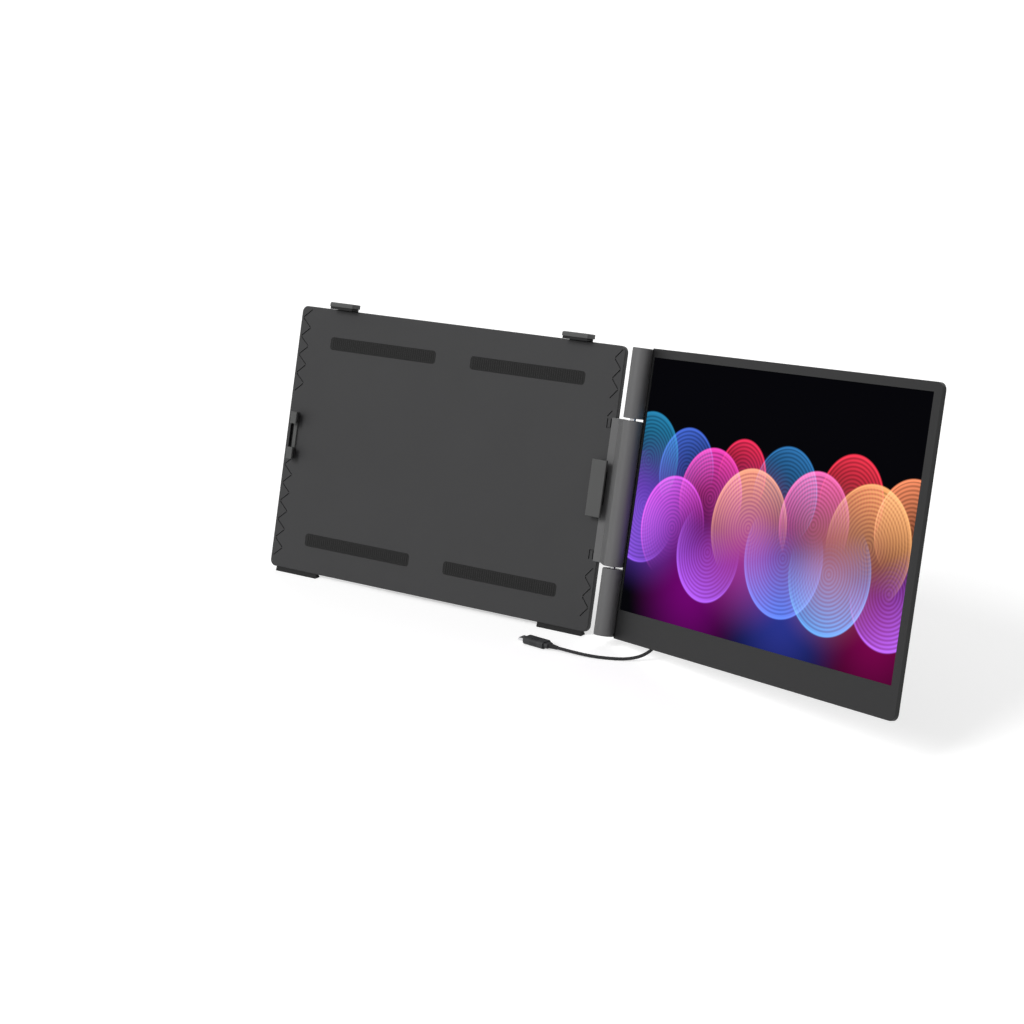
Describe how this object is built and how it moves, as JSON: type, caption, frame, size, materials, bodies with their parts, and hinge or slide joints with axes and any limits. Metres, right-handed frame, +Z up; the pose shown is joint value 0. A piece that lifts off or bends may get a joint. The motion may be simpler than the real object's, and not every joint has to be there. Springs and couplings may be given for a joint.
{
  "type": "laptop screen extender",
  "caption": "Clip-on carrier frame with spring-loaded lid clips and a rear kickstand, holding a swinging display on an upright hinge.",
  "frame": {"origin": "middle of the footprint of the standing object, without its lead, on the desk", "axes": "+X to the right along the frame, +Y to the back, +Z up"},
  "size_m": [0.7378, 0.2416, 0.2816],
  "materials": {
    "shell_plastic": "fine grained dark grey moulding",
    "screen_shell_plastic": "fine grained black moulding",
    "bezel_plastic": "smooth dark grey front frame",
    "hinge_plastic": "satin grey hinge cover",
    "clip_plastic": "satin grey clip",
    "guide_plastic": "plain moulded inner piece",
    "steel_plate": "rolled sheet",
    "screw_steel": "black zinc screws",
    "shaft_steel": "ground shaft",
    "spring_steel": "drawn wire",
    "stand_metal": "bead blasted dark anodised sheet",
    "rubber_black": "matt black rubber",
    "display_glass": "lit display under a glossy front",
    "backlight_sheet": "pressed sheet",
    "bush_brass": "turned",
    "board_green": "solder resist",
    "speaker_plastic": "moulded box",
    "port_metal": "nickel plated shell",
    "port_black": "moulded tongue",
    "button_plastic": "moulded key",
    "cord_rubber": "soft sheath",
    "plug_plastic": "moulded grip",
    "plug_metal": "nickel plated nose"
  },
  "bodies": {
    "frame": {"frame_tray": "shell_plastic", "frame_rear_cover": "shell_plastic", "stiffener_plate": "steel_plate", "frame_screws": "screw_steel", "lid_grip_pads": "rubber_black", "clip_guides": "guide_plastic", "spring_posts": "guide_plastic", "hinge_arm": "hinge_plastic", "hinge_shafts": "shaft_steel", "kickstand_pins": "shaft_steel", "top_clip_spring_left": "spring_steel", "top_clip_spring_right": "spring_steel", "side_clip_spring_left": "spring_steel", "side_clip_spring_right": "spring_steel", "frame_feet": "rubber_black", "link_cord": "cord_rubber", "free_plug_nose": "plug_metal", "free_plug_grip": "plug_plastic", "free_plug_sleeve": "cord_rubber"},
    "screen": {"screen_bezel": "bezel_plastic", "display_panel": "display_glass", "backlight_plate": "backlight_sheet", "screen_rear_shell": "screen_shell_plastic", "electronics_cover": "screen_shell_plastic", "screen_screws": "screw_steel", "driver_board": "board_green", "speakers": "speaker_plastic", "usb_c_ports": "port_metal", "mini_hdmi_port": "port_metal", "port_tongues": "port_black", "hinge_cover_upper": "hinge_plastic", "hinge_cover_lower": "hinge_plastic", "friction_bushes": "bush_brass", "hinge_end_caps": "hinge_plastic", "hinge_brackets": "steel_plate", "screen_plug_nose": "plug_metal", "screen_plug_grip": "plug_plastic", "screen_plug_sleeve": "cord_rubber"},
    "power_key": {"power_button": "button_plastic"},
    "menu_key": {"menu_rocker": "button_plastic"},
    "kickstand": {"kickstand_plate": "stand_metal", "kickstand_shoes": "rubber_black"},
    "top_clip_left_slide": {"top_clip_left": "clip_plastic", "top_clip_pad_left": "rubber_black"},
    "side_clip_left_slide": {"side_clip_left": "clip_plastic", "side_clip_pads_left": "rubber_black"},
    "top_clip_right_slide": {"top_clip_right": "clip_plastic", "top_clip_pad_right": "rubber_black"},
    "side_clip_right_slide": {"side_clip_right": "clip_plastic", "side_clip_pads_right": "rubber_black"}
  },
  "joints": [
    {"name": "screen_swing", "type": "hinge", "parent": "frame", "child": "screen", "pos_m": [0.02686, 0.03192, 0.1274], "axis": [0, 0.2802, 0.96], "range_deg": [-156, 76], "deforming": ["link_cord"]},
    {"name": "kickstand_fold", "type": "hinge", "parent": "frame", "child": "kickstand", "pos_m": [-0.17794, 0.07968, 0.20825], "axis": [1, 0, 0], "range_deg": [-26.91, 0]},
    {"name": "power_button_press", "type": "slide", "parent": "screen", "child": "power_key", "axis": [-0.9336, 0.344, -0.1004], "range_m": [0, 0.0006], "stiffness_N_per_m": 800, "springref_m": -0.001},
    {"name": "menu_rocker_tip", "type": "hinge", "parent": "screen", "child": "menu_key", "pos_m": [0.31778, -0.06578, 0.13924], "axis": [0.3584, 0.8962, -0.2616], "range_deg": [-3, 3], "stiffness_Nm_per_rad": 0.4},
    {"name": "top_clip_left_slide", "type": "slide", "parent": "frame", "child": "top_clip_left_slide", "axis": [0, 0.2802, 0.96], "range_m": [0, 0.02], "stiffness_N_per_m": 250, "springref_m": -0.012, "deforming": ["top_clip_spring_left"]},
    {"name": "top_clip_right_slide", "type": "slide", "parent": "frame", "child": "top_clip_right_slide", "axis": [0, 0.2802, 0.96], "range_m": [0, 0.02], "stiffness_N_per_m": 250, "springref_m": -0.012, "deforming": ["top_clip_spring_right"]},
    {"name": "side_clip_left_slide", "type": "slide", "parent": "frame", "child": "side_clip_left_slide", "axis": [-1, 0, 0], "range_m": [0, 0.005], "stiffness_N_per_m": 400, "springref_m": -0.006, "deforming": ["side_clip_spring_left"]},
    {"name": "side_clip_right_slide", "type": "slide", "parent": "frame", "child": "side_clip_right_slide", "axis": [1, 0, 0], "range_m": [0, 0.005], "stiffness_N_per_m": 400, "springref_m": -0.006, "deforming": ["side_clip_spring_right"]}
  ]
}
